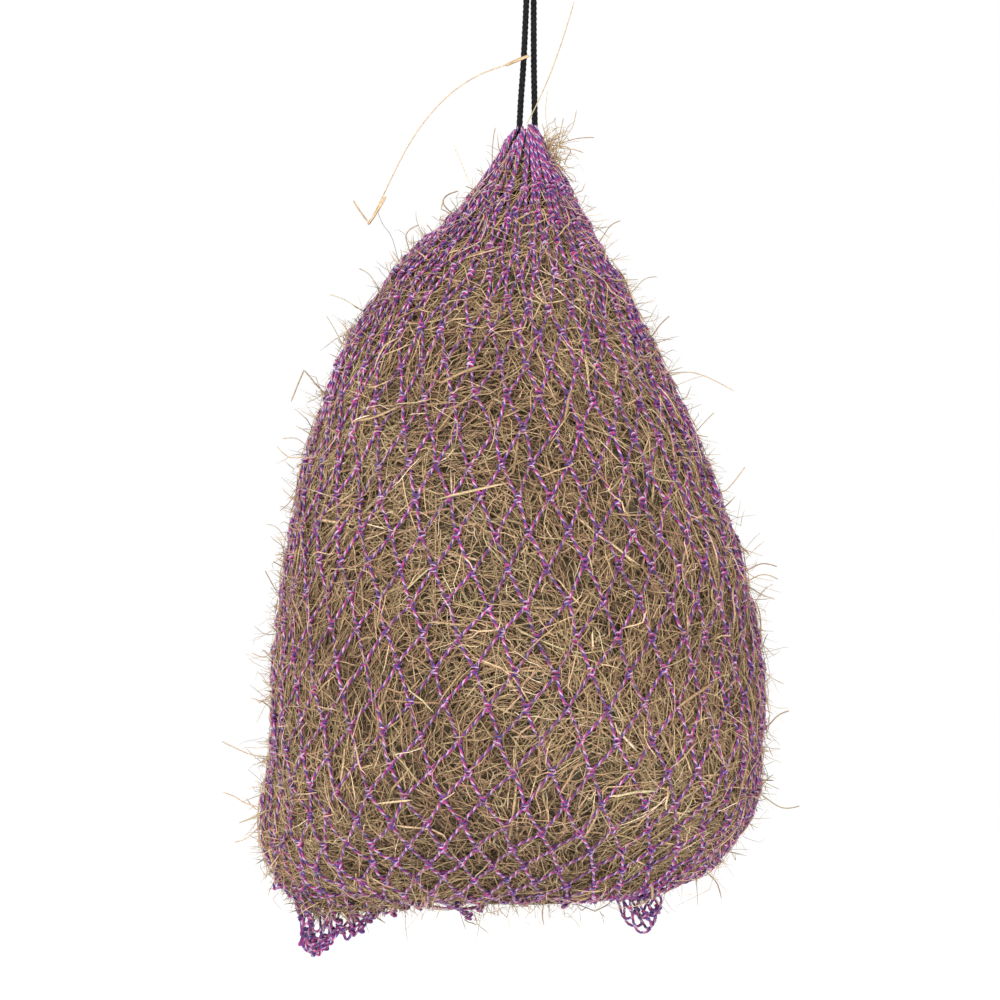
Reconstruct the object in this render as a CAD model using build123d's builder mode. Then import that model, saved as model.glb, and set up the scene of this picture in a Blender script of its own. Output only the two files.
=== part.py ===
"""Filled hay net hanging on its draw cord: netting bag, hay, cord, knot, loop and ring. Millimetres.

+Z is up, +X is to the right of the front panel, and the front faces -Y. The origin is the inside top of
the steel ring, where the net hangs on a hook.
"""
import os
from math import cos, radians, sin, tan

from build123d import *

os.makedirs("parts", exist_ok=True)

# ---- driving dimensions ----
CORD_D = 6.2                    # braided draw cord
TWINE_D = 3.0                   # netting twine
FIT_GAP = 0.4                   # between pieces that don't touch
BASE_SLACK = 2.5                # the filling sits this much clear of the net at the base
RING_WIRE_D = 8.0               # round steel bar of the ring
RING_INSIDE_D = 40.0
KNOT_D = 21.0
KNOT_HEIGHT = 18.0
LACING_WIDTH = 10.0
FLAKES = 6                      # wads of hay, one over another
FLAKE_GAP = 0.6
FLAKE_NORMAL = (0.07, 0.09, 1)  # the wads lie a little askew
STALK_D = 1.6                   # hay stalk
SHEATH_D = 4.0                  # leaf sheath on the long stalk

# ---- heights ----
RING_CENTRE_Z = -RING_INSIDE_D / 2
RING_MAJOR_R = (RING_INSIDE_D + RING_WIRE_D) / 2
BAR_Z = RING_CENTRE_Z - RING_MAJOR_R            # bar that the loop goes round
KNOT_BASE_Z = -96.9
KNOT_TOP_Z = KNOT_BASE_Z + KNOT_HEIGHT
CORD_TOP_Z = -98.6
CORD_END_Z = -228.0                             # where the strands meet the gather
GATHER_TOP_Z = CORD_END_Z - 2.5 * FIT_GAP
GATHER_BASE_Z = -272.0
BASE_LACING_TOP_Z = -962.0
FLOOR_START_Z = -885.0                          # the sides begin to turn under here
BODY_BASE_Z = -1004.0

# ---- outline of the filled bag: height, middle, half width and half depth of each level section ----
SECTIONS = [
    (GATHER_BASE_Z, 3, 32, 29),
    (-300, -3, 53, 48),
    (-345, -10, 84, 76),
    (-392, -17, 121, 107),
    (-440, -19, 150, 133),
    (-508, -15, 179, 158),
    (-570, -10, 202, 179),
    (-640, -3, 223, 197),
    (-700, 4, 235, 208),
    (-760, 7, 242, 214),
    (-830, 8, 248, 218),
    (-885, 5, 247, 201),
    (-920, -5, 240, 173),
    (-945, -12, 232, 147),
    (-967, -21, 218, 118),
    (-983, -35, 197, 93),
    (-995, -55, 167, 70),
    (BODY_BASE_Z, -72, 118, 44),
]

# ---- routes of the cord, in the XZ plane of the strands ----
LOOP_R = 8.2                    # corners of the route round the bar
LOOP_ROUND_BAR = [(LOOP_R * cos(radians(a)), 0, BAR_Z + LOOP_R * sin(radians(a))) for a in (180, 135, 90, 45, 0)]
LOOP_ROUTE = (
    [(-3.6, 0, KNOT_TOP_Z), (-3.6, 0, -71), (-6.9, 0, -57.5)]
    + LOOP_ROUND_BAR
    + [(7.2, 0, -58.5), (3.6, 0, -70.5), (3.6, 0, KNOT_TOP_Z)]
)
LEFT_ROUTE = [(-3.5, 0, CORD_TOP_Z), (-4.3, 0, -162), (-6.4, 0, -202), (-6.9, 0, CORD_END_Z)]
RIGHT_ROUTE = [(3.6, 0, CORD_TOP_Z), (5.4, 0, -162), (7.3, 0, -202), (8.3, 0, CORD_END_Z)]
BIGHT_ROUTE = [
    (-6.9, 0, CORD_END_Z - FIT_GAP),
    (-7.3, 0, -237.5),
    (-5.0, 0, -245.5),
    (0.7, 0, -248.5),
    (6.4, 0, -245.5),
    (8.7, 0, -237.5),
    (8.3, 0, CORD_END_Z - FIT_GAP),
]
# The long stalk lies over the strands and bends down past the left flank.
STALK_ROUTE = [
    (-3, -9, -162), (-24, -10, -170), (-49, -9, -179), (-76, -7, -197),
    (-98, -6, -221), (-116, -6, -248), (-130, -8, -277), (-142, -12, -306), (-154, -16, -332),
]


# ---- helpers ----
def corner_radii(points):
    """One radius for each corner of a route: 0.45 of the shorter run, over the tangent of half the turn."""
    radii = []
    for before, corner, after in zip(points, points[1:], points[2:]):
        run_in = Vector(*corner) - Vector(*before)
        run_out = Vector(*after) - Vector(*corner)
        shorter = min(run_in.length, run_out.length)
        radii.append(0.45 * shorter / tan(radians(run_in.get_angle(run_out)) / 2))
    return radii


def tube(points, diameter):
    """Round cord along a route, with its corners rounded by tangent arcs."""
    radii = corner_radii(points)
    print("  radii", [round(r, 1) for r in radii])
    with BuildPart() as cord:
        with BuildLine() as route:
            FilletPolyline(*points, radius=radii)
        with BuildSketch(Plane(origin=route.line @ 0, z_dir=route.line % 0)):
            Circle(diameter / 2)
        sweep(path=route.line)
    return cord.part


def bag_blank(inset, rise=0.0, slack=0.0):
    """Solid of the filled bag, smaller all round by inset, and by slack more at the base. Rise lifts its top."""
    with BuildPart() as blank:
        for z, middle, half_width, half_depth in SECTIONS:
            share = max(0.0, (FLOOR_START_Z - z) / (FLOOR_START_Z - BODY_BASE_Z))
            smaller = inset + slack * share
            lift = smaller * share
            if z == GATHER_BASE_Z:
                lift = rise
            with BuildSketch(Plane(origin=(middle, 0, z + lift))):
                Ellipse(half_width - smaller, half_depth - smaller)
        loft()
    return blank.part


def flank(z, side):
    """X of the bag's side at a height, for side -1 or 1."""
    for upper, lower in zip(SECTIONS, SECTIONS[1:]):
        if lower[0] <= z <= upper[0]:
            share = (upper[0] - z) / (upper[0] - lower[0])
            middle = upper[1] + share * (lower[1] - upper[1])
            half_width = upper[2] + share * (lower[2] - upper[2])
            return middle + side * half_width
    raise ValueError("height is off the bag")


def half_depth_at(z):
    """Half depth of the bag at the height of one of its sections."""
    return next(half_depth for height, middle, half_width, half_depth in SECTIONS if height == z)


def rod(start, end, diameter):
    """Straight stalk from start to end."""
    along = Vector(*end) - Vector(*start)
    with BuildPart() as straight:
        with BuildSketch(Plane(origin=start, z_dir=along)):
            Circle(diameter / 2)
        extrude(amount=along.length)
    return straight.part


def save(part, name):
    """Label a finished piece and write its STEP file."""
    part.label = name
    export_step(part, f"parts/{name}.step")


# ---- steel ring ----
with BuildPart() as hang_ring:
    with BuildSketch(Plane.XZ.offset(0)):
        with Locations((RING_MAJOR_R, 0)):
            Circle(RING_WIRE_D / 2)
    revolve(axis=Axis.Z)
save(hang_ring.part.rotate(Axis.Y, 90).moved(Location((0, 0, RING_CENTRE_Z))), "hang_ring")

# ---- hang loop, knot and its two sealed ends ----
with BuildPart() as hang_loop:
    add(tube(LOOP_ROUTE, CORD_D))
save(hang_loop.part, "hang_loop")

with BuildPart() as hang_knot:
    with BuildSketch(Plane.XZ):
        with BuildLine():
            Polyline((0, KNOT_BASE_Z), (KNOT_D / 2 - 3, KNOT_BASE_Z))
            ThreePointArc(
                (KNOT_D / 2 - 3, KNOT_BASE_Z),
                (KNOT_D / 2, KNOT_BASE_Z + KNOT_HEIGHT / 2),
                (KNOT_D / 2 - 3, KNOT_TOP_Z),
            )
            Polyline((KNOT_D / 2 - 3, KNOT_TOP_Z), (0, KNOT_TOP_Z), (0, KNOT_BASE_Z))
        make_face()
    revolve(axis=Axis.Z)
    fillet(hang_knot.edges().filter_by(GeomType.CIRCLE), radius=1.5)
save(hang_knot.part, "hang_knot")

END_LENGTH = 13.0
for name, side in (("cord_end_left", -1), ("cord_end_right", 1)):
    with BuildPart() as cord_end:
        with BuildSketch(Plane(origin=(side * (KNOT_D / 2 + 2), 0, -86), z_dir=(side * 0.85, 0, -0.5))):
            Circle(CORD_D / 2)
        extrude(amount=END_LENGTH)
        fillet(cord_end.edges().filter_by(GeomType.CIRCLE).sort_by(Axis.Z)[0], radius=2)
    save(cord_end.part, name)

# ---- draw cord ----
for name, route in (
    ("draw_cord_left", LEFT_ROUTE),
    ("draw_cord_right", RIGHT_ROUTE),
    ("draw_cord_bight", BIGHT_ROUTE),
):
    with BuildPart() as strand:
        add(tube(route, CORD_D))
    save(strand.part, name)

# ---- gathered mouth of the net, bunched round the bight of the cord ----
with BuildPart() as mouth_gather:
    for z, middle, half_width, half_depth in (
        (GATHER_TOP_Z, 0.7, 13.5, 10),
        (-250, 3.5, 20, 17),
        (GATHER_BASE_Z + FIT_GAP, 3, 31.5, 28.5),
    ):
        with BuildSketch(Plane(origin=(middle, 0, z))):
            Ellipse(half_width, half_depth)
    loft()
    add(tube(BIGHT_ROUTE, CORD_D + 2 * FIT_GAP), mode=Mode.SUBTRACT)
save(mouth_gather.part, "mouth_gather")

# ---- netting: a skin one twine thick, in two panels laced at the sides and the base ----
with BuildPart() as netting:
    add(bag_blank(0))
    add(bag_blank(TWINE_D, rise=1.0), mode=Mode.SUBTRACT)

SEAM_Y = LACING_WIDTH / 2 + FIT_GAP / 2         # panels stop this far from the seam's middle
FAR = 1200.0                                    # larger than the bag

for name, side in (("net_front_panel", -1), ("net_back_panel", 1)):
    with BuildPart() as panel:
        add(netting)
        with Locations((0, side * (SEAM_Y + FAR / 2), -FAR / 2)):
            Box(FAR, FAR, FAR, mode=Mode.INTERSECT)
    save(panel.part, name)

for name, side in (("side_lacing_left", -1), ("side_lacing_right", 1)):
    with BuildPart() as side_lacing:
        add(netting)
        with Locations((side * FAR / 2, 0, BASE_LACING_TOP_Z + FIT_GAP + FAR / 2)):
            Box(FAR, LACING_WIDTH, FAR, mode=Mode.INTERSECT)
    save(side_lacing.part, name)

with BuildPart() as base_lacing:
    add(netting)
    with Locations((0, 0, BASE_LACING_TOP_Z - FAR / 2)):
        Box(FAR, LACING_WIDTH, FAR, mode=Mode.INTERSECT)
save(base_lacing.part, "base_lacing")

# ---- empty corner of the net, and loose loops at the other corner ----
FLAP_THICKNESS = 12.0
with BuildPart() as corner_flap_left:
    with BuildSketch(Plane.XZ):
        with BuildLine():
            Spline((-236, -986), (-222, -1003), (-210, -1022), (-199, -1050), (-186, -1061))
            ThreePointArc((-186, -1061), (-177, -1061), (-171, -1053))
            Spline((-171, -1053), (-157, -1035), (-120, -1021), (-90, -1009))
            Polyline((-90, -1009), (-90, -986), (-236, -986))
        make_face()
    extrude(amount=FLAP_THICKNESS / 2, both=True)
    add(bag_blank(-FIT_GAP), mode=Mode.SUBTRACT)
save(corner_flap_left.part.solids().sort_by(SortBy.VOLUME)[-1], "corner_flap_left")

LOOSE_LOOPS = [(118, -1002, 9, 24, 20), (128, -1000, 8, 30, -25), (138, -999, 10, 33, 15),
               (149, -998, 9, 31, -15), (159, -995, 8, 22, 30)]     # x, top, width, height, turn about Z
with BuildPart() as corner_loops_right:
    for x, top_z, width, height, turn in LOOSE_LOOPS:
        flat = Plane(origin=(x, 0, top_z - height / 2), x_dir=(cos(radians(turn)), sin(radians(turn)), 0),
                     z_dir=(sin(radians(turn)), -cos(radians(turn)), 0))
        half = height / 2 - width / 2
        with BuildLine(flat) as mesh_loop:
            Line((-width / 2, -half), (-width / 2, half))
            ThreePointArc((-width / 2, half), (0, height / 2), (width / 2, half))
            Line((width / 2, half), (width / 2, -half))
            ThreePointArc((width / 2, -half), (0, -height / 2), (-width / 2, -half))
        with BuildSketch(Plane(origin=mesh_loop.line @ 0, z_dir=mesh_loop.line % 0)):
            Circle(TWINE_D / 2)
        sweep(path=mesh_loop.line)
save(corner_loops_right.part, "corner_loops_right")

# ---- hay: wads one over another inside the netting ----
filling = bag_blank(TWINE_D + FIT_GAP, slack=BASE_SLACK)
flake_height = (GATHER_BASE_Z - BODY_BASE_Z) / FLAKES
for number in range(FLAKES):
    upper = Plane(origin=(0, 0, GATHER_BASE_Z - number * flake_height), z_dir=FLAKE_NORMAL)
    lower = Plane(origin=(0, 0, GATHER_BASE_Z - (number + 1) * flake_height), z_dir=FLAKE_NORMAL)
    with BuildPart() as hay_flake:
        add(filling)
        if number > 0:
            split(bisect_by=upper.offset(-FLAKE_GAP / 2), keep=Keep.BOTTOM)
        if number < FLAKES - 1:
            split(bisect_by=lower.offset(FLAKE_GAP / 2), keep=Keep.TOP)
    save(hay_flake.part, f"hay_flake_{number + 1}")

# ---- loose hay ----
with BuildPart() as hay_mouth_tuft:
    for number, (dx, dy, dz) in enumerate(
        [(22, -8, 24), (27, -3, 10), (30, 3, -4), (24, 8, 20), (14, -10, 30), (33, 0, 16), (20, 10, -8)]
    ):
        start = (34 + 1.2 * number, -9 + 3 * number, -256 - 2 * number)
        add(rod(start, (start[0] + dx, start[1] + dy, start[2] + dz), STALK_D))
save(hay_mouth_tuft.part, "hay_mouth_tuft")

with BuildPart() as draped_stalk:
    add(tube(STALK_ROUTE, STALK_D))
    add(rod(STALK_ROUTE[0], STALK_ROUTE[1], SHEATH_D))
save(draped_stalk.part, "draped_stalk")

STRAY_LEFT = [(-420, -34, 18), (-495, -22, -16), (-560, -26, 12), (-660, -22, 26), (-745, -26, -18),
              (-866, -50, 14), (-930, -26, -22)]          # height at the bag, reach outwards, rise
STRAY_RIGHT = [(-400, 26, 24), (-486, 34, 14), (-585, 30, 22), (-672, 36, 10), (-760, 30, -20),
               (-830, 28, 24), (-884, 44, -16)]
for name, side, stalks in (("stray_stalks_left", -1, STRAY_LEFT), ("stray_stalks_right", 1, STRAY_RIGHT)):
    with BuildPart() as stray:
        for z, reach, rise in stalks:
            x = flank(z, side) + side * 2.5
            add(rod((x, 0, z), (x + reach, 0, z + rise), STALK_D))
    save(stray.part, name)

STRAY_MIDDLE = [(-24, -508, 18, 9), (30, -640, 20, -10), (-46, -760, 24, 12), (16, -830, 26, -6),
                (62, -885, 22, 10)]                       # x, height, reach outwards, rise
for name, side in (("stray_stalks_front", -1), ("stray_stalks_back", 1)):
    with BuildPart() as stray:
        for x, z, reach, rise in STRAY_MIDDLE:
            y = side * (half_depth_at(z) + 2.5)
            add(rod((side * x, y, z), (side * x, y + side * reach, z + rise), STALK_D))
    save(stray.part, name)
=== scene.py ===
"""Filled hay net on its draw cord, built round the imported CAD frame. Metres, +Z up, front faces -Y."""
import math

import bpy
import numpy as np
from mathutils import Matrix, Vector
from mathutils.bvhtree import BVHTree


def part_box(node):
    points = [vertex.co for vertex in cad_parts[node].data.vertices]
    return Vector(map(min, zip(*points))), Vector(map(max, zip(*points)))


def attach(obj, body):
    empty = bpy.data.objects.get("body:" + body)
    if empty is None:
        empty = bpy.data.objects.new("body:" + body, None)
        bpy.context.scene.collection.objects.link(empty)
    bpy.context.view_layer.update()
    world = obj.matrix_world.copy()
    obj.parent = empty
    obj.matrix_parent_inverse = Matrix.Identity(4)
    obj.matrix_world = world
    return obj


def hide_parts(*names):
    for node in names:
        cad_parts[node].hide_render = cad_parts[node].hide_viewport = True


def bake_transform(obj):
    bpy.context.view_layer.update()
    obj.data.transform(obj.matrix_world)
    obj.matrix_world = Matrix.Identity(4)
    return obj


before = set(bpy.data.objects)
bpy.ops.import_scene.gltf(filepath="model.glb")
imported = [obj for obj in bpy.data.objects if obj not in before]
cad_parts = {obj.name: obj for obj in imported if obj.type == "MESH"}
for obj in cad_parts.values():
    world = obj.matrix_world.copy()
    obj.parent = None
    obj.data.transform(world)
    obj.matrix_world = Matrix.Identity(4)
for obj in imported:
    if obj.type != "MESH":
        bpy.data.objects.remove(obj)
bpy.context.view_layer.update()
random = np.random.default_rng(11)

# ---- driving dimensions, metres ----
MESHES_ROUND = 40               # meshes in one row round the bag
BAR = 0.0365                    # twine from knot to knot
TOP_BAR = 0.070                 # the long meshes that hang on the cord
TWINE_R = 0.0015
PLY_PITCH = 0.0115              # one full turn of the three plies
CORD_R = 0.0031
BRAID_PITCH = 0.021             # one full turn of a carrier of the braid
UNDER_ROWS = 8                  # rows of knots that wrap under the hay
TURN_UNDER_Z = -0.885           # the face starts to turn under the bag here
FLANK_END_Z = -0.947            # the side lacings end here
MOUTH_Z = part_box("mouth_gather")[1][2]
BASE_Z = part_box("hay_flake_6")[0][2]
UP = np.array([0.0, 0.0, 1.0])
# the exporter bakes to this layer, and makes it only where it is missing
UV_MAP = "OFBake"               # UV layer that gives each strip of faces its own cell


# ---- The bag's surface, read from the frame ----
def skin_tree():
    """Ray-casting tree of the CAD netting."""
    points, polygons = [], []
    for name in ("net_front_panel", "net_back_panel", "side_lacing_left", "side_lacing_right", "base_lacing"):
        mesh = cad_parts[name].data
        start = len(points)
        points += [v.co.copy() for v in mesh.vertices]
        polygons += [[start + i for i in p.vertices] for p in mesh.polygons]
    return BVHTree.FromPolygons(points, polygons)


def read_profile():
    """Middle, half width and half depth of the CAD bag at a list of heights, with the mouth drawn to a neck."""
    tree = skin_tree()
    rows = [(MOUTH_Z + 0.004, 0.0005, 0.0070, 0.0060), (MOUTH_Z, 0.0004, 0.0090, 0.0078)]
    rows.append((MOUTH_Z - 0.016, -0.0010, 0.0215, 0.0170))
    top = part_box("net_front_panel")[1][2] - 0.004
    for z in np.linspace(top, BASE_Z + 0.0005, 240):
        left = tree.ray_cast(Vector((-1, 0, z)), Vector((1, 0, 0)))[0]
        right = tree.ray_cast(Vector((1, 0, z)), Vector((-1, 0, 0)))[0]
        middle = (left.x + right.x) / 2
        front = tree.ray_cast(Vector((middle, -1, z)), Vector((0, 1, 0)))[0]
        if front is None:
            front = tree.ray_cast(Vector((middle + 0.01, -1, z)), Vector((0, 1, 0)))[0]
        rows.append((z, middle, (right.x - left.x) / 2, -front.y))
    z, middle, half_width, half_depth = rows[-1]
    rows.append((z - 0.0015, middle, half_width, half_depth))
    profile = np.array(rows)[::-1]
    closing = np.clip((BASE_Z + 0.012 - profile[:, 0]) / 0.0136, 0, 0.995)
    profile[:, 2:] *= np.sqrt(1 - closing[:, None] ** 2)
    return profile


PROFILE = read_profile()


def section(z):
    """Middle, half width and half depth at heights z."""
    return [np.interp(z, PROFILE[:, 0], PROFILE[:, i]) for i in (1, 2, 3)]


def lump(p):
    """Gentle unevenness of the hay under the net, in metres."""
    x, y, z = p[..., 0], p[..., 1], p[..., 2]
    waves = (
        np.sin(38 * x + 21 * z + 0.4) + np.sin(31 * y - 33 * z + 2.1) + np.sin(52 * z + 24 * x - 30 * y + 4.0)
        + 0.7 * np.sin(83 * x - 61 * z + 50 * y + 1.2) + 0.6 * np.sin(97 * z + 77 * y - 40 * x + 5.1)
    )
    fade = np.clip((MOUTH_Z - z) / 0.15, 0, 1)
    return 0.0016 * waves * fade


def outside(p):
    """How far points are outside the bag, and the outward normals."""
    def level(x, y, z):
        middle, half_width, half_depth = section(z)
        return np.sqrt(((x - middle) / half_width) ** 2 + (y / half_depth) ** 2 + 1e-9) - 1

    x, y, z = p[..., 0], p[..., 1], p[..., 2]
    h = 0.001
    along_x = level(x + h, y, z) - level(x - h, y, z)
    along_y = level(x, y + h, z) - level(x, y - h, z)
    along_z = level(x, y, z + h) - level(x, y, z - h)
    slope = np.stack([along_x, along_y, along_z], axis=-1) / (2 * h)
    steep = np.maximum(np.linalg.norm(slope, axis=-1), 1e-6)
    return level(x, y, z) / steep, slope / steep[..., None]


def settle(p, height, rounds=4, most_in=0.02, most_out=0.02):
    """Moves points along the normals until they are at that height over the uneven hay."""
    for _ in range(rounds):
        away, normal = outside(p)
        step = np.clip(height + lump(p) - away, -most_in, most_out)
        p = p + normal * step[..., None]
    return p


def keep_off(p, height):
    """Moves out only the points that are below that height."""
    return settle(p, height, 3, most_in=0)


def run_of(line):
    """Distance along a line at each of its points."""
    return np.concatenate([[0], np.cumsum(np.linalg.norm(np.diff(line, axis=0), axis=1))])


def places_at(line, at):
    """Points at those distances along a line."""
    run = run_of(line)
    return np.stack([np.interp(at, run, line[:, i]) for i in range(3)], axis=1)


# ---- Mesh and material helpers ----
def unit(v):
    return v / np.maximum(np.linalg.norm(v, axis=-1, keepdims=True), 1e-12)


def strip_map(polygons):
    """UVs of every corner: each strip of faces along a strand, and each cap, has its own square cell."""
    cells, corners, count = [], [], 0
    for part in polygons:
        if part.ndim == 4:
            strands, steps, sides, _ = part.shape
            cell = count + np.arange(strands)[:, None, None] * sides + np.arange(sides)
            cell = np.broadcast_to(cell, (strands, steps, sides))
            place = np.zeros((*part.shape, 2))
            place[..., 0] = [0, 1, 1, 0]
            place[..., 1] = (np.arange(steps)[None, :, None, None] + np.array([0, 0, 1, 1])) / steps
            count += strands * sides
        else:
            cell = count + np.arange(len(part))
            turn = 2 * math.pi * np.arange(part.shape[1]) / part.shape[1]
            place = np.tile(0.5 + 0.5 * np.stack([np.cos(turn), np.sin(turn)], axis=1), (len(part), 1))
            count += len(part)
        cells.append(np.repeat(cell.ravel(), part.shape[-1]))
        corners.append(place.reshape(-1, 2))
    cells = np.concatenate(cells)
    across = math.ceil(math.sqrt(count))
    return (np.stack([cells % across, cells // across], axis=1) + 0.1 + 0.8 * np.concatenate(corners)) / across


def make_mesh(name, points, polygons, values=None):
    """One object from arrays. Each array in polygons holds faces (n, corners), or strips of them along strands
    (strands, steps, sides, 4), and values are per-face attributes."""
    corner_map = strip_map(polygons)
    polygons = [part.reshape(-1, part.shape[-1]) for part in polygons]
    mesh = bpy.data.meshes.new(name)
    points = np.asarray(points, np.float32).reshape(-1, 3)
    mesh.vertices.add(len(points))
    mesh.vertices.foreach_set("co", points.ravel())
    corners = np.concatenate([q.ravel() for q in polygons]).astype(np.int32)
    sizes = np.concatenate([np.full(len(q), q.shape[1]) for q in polygons])
    mesh.loops.add(len(corners))
    mesh.loops.foreach_set("vertex_index", corners)
    mesh.polygons.add(len(sizes))
    mesh.polygons.foreach_set("loop_start", np.concatenate([[0], np.cumsum(sizes)[:-1]]).astype(np.int32))
    mesh.polygons.foreach_set("use_smooth", np.ones(len(sizes), bool))
    for key, value in (values or {}).items():
        layer = mesh.attributes.new(key, "FLOAT", "FACE")
        layer.data.foreach_set("value", np.asarray(value, np.float32))
    uv_layer = mesh.uv_layers.new(name=UV_MAP)
    uv_layer.data.foreach_set("uv", corner_map.astype(np.float32).ravel())
    mesh.update()
    mesh.validate()
    obj = bpy.data.objects.new(name, mesh)
    bpy.context.scene.collection.objects.link(obj)
    return obj


def frames(paths, reference):
    """Tangent, side and up vectors along paths (n, k, 3), with up near the reference."""
    tangent = unit(np.gradient(paths, axis=1))
    side = unit(np.cross(tangent, reference))
    return tangent, side, np.cross(side, tangent)


def sweep(paths, reference, angles, radii, turn=None, taper=None, flat=None, closed=False):
    """Tubes along paths (n, k, 3). Returns points, wall quads (n, k - 1, sides, 4) and the end caps."""
    count, steps = paths.shape[:2]
    sides = len(angles)
    _, side, up = frames(paths, reference)
    if closed:
        tangent = unit(np.roll(paths, -1, 1) - np.roll(paths, 1, 1))
        side = unit(np.cross(tangent, reference))
        up = np.cross(side, tangent)
    turn = np.zeros((count, steps)) if turn is None else turn
    taper = np.ones((count, steps)) if taper is None else taper
    flat = np.ones((count, 1, 1)) if flat is None else flat.reshape(-1, 1, 1)
    angle = turn[:, :, None] + angles[None, None, :]
    size = radii[None, None, :] * taper[:, :, None]
    ring = paths[:, :, None, :] + side[:, :, None, :] * (np.cos(angle) * size)[..., None]
    ring = ring + up[:, :, None, :] * (np.sin(angle) * size * flat)[..., None]
    index = np.arange(count * steps * sides).reshape(count, steps, sides)
    ahead = np.roll(index, -1, 1) if closed else index[:, 1:]
    here = index if closed else index[:, :-1]
    quads = np.stack([here, np.roll(here, -1, 2), np.roll(ahead, -1, 2), ahead], axis=-1)
    caps = None if closed else np.concatenate([index[:, 0, ::-1], index[:, -1, :]])
    return ring.reshape(-1, 3), quads, caps


def nodes_of(name, roughness=0.6, sheen=0.0):
    """A new node material: its tree, its shader, and a short way to add a node."""
    material = bpy.data.materials.new(name)
    material.use_nodes = True
    tree = material.node_tree
    shader = tree.nodes["Principled BSDF"]
    shader.inputs["Roughness"].default_value = roughness
    shader.inputs["Sheen Weight"].default_value = sheen

    def add(kind, links=None, **settings):
        node = tree.nodes.new(kind)
        for key, value in settings.items():
            if key in node.inputs:
                node.inputs[key].default_value = value
            else:
                setattr(node, key, value)
        for key, socket in (links or {}).items():
            tree.links.new(socket, node.inputs[key])
        return node

    return material, tree, shader, add


def ramp_of(add, socket, stops, constant=False):
    """A colour ramp with (position, colour) stops."""
    ramp = add("ShaderNodeValToRGB", {"Fac": socket})
    ramp.color_ramp.interpolation = "CONSTANT" if constant else "LINEAR"
    for number, (position, colour) in enumerate(stops):
        if number < 2:
            stop = ramp.color_ramp.elements[number]
            stop.position = position
        else:
            stop = ramp.color_ramp.elements.new(position)
        stop.color = (*colour, 1)
    return ramp


def noise(add, scale, detail):
    """Noise fixed to the object."""
    place = add("ShaderNodeTexCoord")
    texture = add("ShaderNodeTexNoise", {"Vector": place.outputs["Object"]}, Scale=scale, Detail=detail)
    return texture.outputs["Fac"]


def multiply(tree, add, one, other):
    """Two colours multiplied."""
    mixed = add("ShaderNodeMix", data_type="RGBA", blend_type="MULTIPLY")
    mixed.inputs["Factor"].default_value = 1.0
    tree.links.new(one, mixed.inputs[6])
    tree.links.new(other, mixed.inputs[7])
    return mixed.outputs[2]


def finish(tree, shader, add, colour, height, strength, distance):
    """Joins the colour and a bump to the shader."""
    tree.links.new(colour, shader.inputs["Base Color"])
    bump = add("ShaderNodeBump", {"Height": height}, Strength=strength, Distance=distance)
    tree.links.new(bump.outputs["Normal"], shader.inputs["Normal"])


def twine_material():
    """Three marled plies: magenta, violet and lilac white, faded unevenly, with fibre bump."""
    material, tree, shader, add = nodes_of("marled_twine", 0.5, 0.25)
    ply = add("ShaderNodeAttribute", attribute_name="ply")
    fade = add("ShaderNodeAttribute", attribute_name="tone")
    colours = ramp_of(
        add, ply.outputs["Fac"],
        [(0.0, (0.44, 0.016, 0.19)), (0.40, (0.088, 0.016, 0.22)), (0.72, (0.55, 0.42, 0.60))], constant=True,
    )
    patches = noise(add, 260.0, 3.0)
    level = add("ShaderNodeMath", {0: patches, 1: fade.outputs["Fac"]}, operation="ADD")
    dirt = ramp_of(add, level.outputs[0], [(0.35, (0.36, 0.35, 0.35)), (1.15, (1.14, 1.08, 1.10))])
    colour = multiply(tree, add, colours.outputs["Color"], dirt.outputs["Color"])
    finish(tree, shader, add, colour, noise(add, 2400.0, 2.0), 0.35, 0.0004)
    return material


def hay_material():
    """Dry stalks: each has its own tone, with streaks along the object, and painted shade that darkens the ones
    deeper in.
    """
    material, tree, shader, add = nodes_of("dry_hay", 0.62)
    tone = add("ShaderNodeAttribute", attribute_name="tone")
    depth = add("ShaderNodeAttribute", attribute_name="shade")
    colours = ramp_of(
        add, tone.outputs["Fac"],
        [
            (0.0, (0.085, 0.055, 0.032)), (0.14, (0.21, 0.128, 0.068)), (0.34, (0.35, 0.222, 0.118)),
            (0.52, (0.30, 0.238, 0.105)), (0.66, (0.46, 0.332, 0.172)), (0.82, (0.59, 0.455, 0.26)),
            (0.95, (0.35, 0.32, 0.15)), (1.0, (0.74, 0.63, 0.42)),
        ],
    )
    streak = noise(add, 420.0, 4.0)
    blot = ramp_of(add, streak, [(0.32, (0.74, 0.65, 0.70)), (0.68, (1.42, 1.34, 1.40))])
    # painted shade: this ramp darkens the stalks that lie deeper under the others
    dark = ramp_of(add, depth.outputs["Fac"], [(0.0, (0.30, 0.27, 0.22)), (1.0, (1.12, 1.12, 1.12))])
    streaked = multiply(tree, add, colours.outputs["Color"], blot.outputs["Color"])
    colour = multiply(tree, add, streaked, dark.outputs["Color"])
    finish(tree, shader, add, colour, streak, 0.25, 0.0005)
    return material


def core_material():
    """Hay deep inside: tangled fibres, painted dark as the shade between the stalks."""
    material, tree, shader, add = nodes_of("deep_hay_painted_shade", 0.9)
    place = add("ShaderNodeTexCoord")
    warp = add("ShaderNodeTexNoise", {"Vector": place.outputs["Object"]}, Scale=22.0, Detail=3.0, Distortion=2.5)
    fibre = add("ShaderNodeTexWave", {"Vector": warp.outputs["Color"]}, Scale=30.0, Distortion=9.0, Detail=4.0)
    # painted shade: the fibres are coloured much darker than the stalks, for the shaded hay deep inside
    colour = ramp_of(
        add, fibre.outputs["Fac"],
        [(0.0, (0.050, 0.035, 0.018)), (0.6, (0.13, 0.092, 0.045)), (1.0, (0.24, 0.175, 0.09))],
    )
    finish(tree, shader, add, colour.outputs["Color"], fibre.outputs["Fac"], 0.8, 0.003)
    return material


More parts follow.
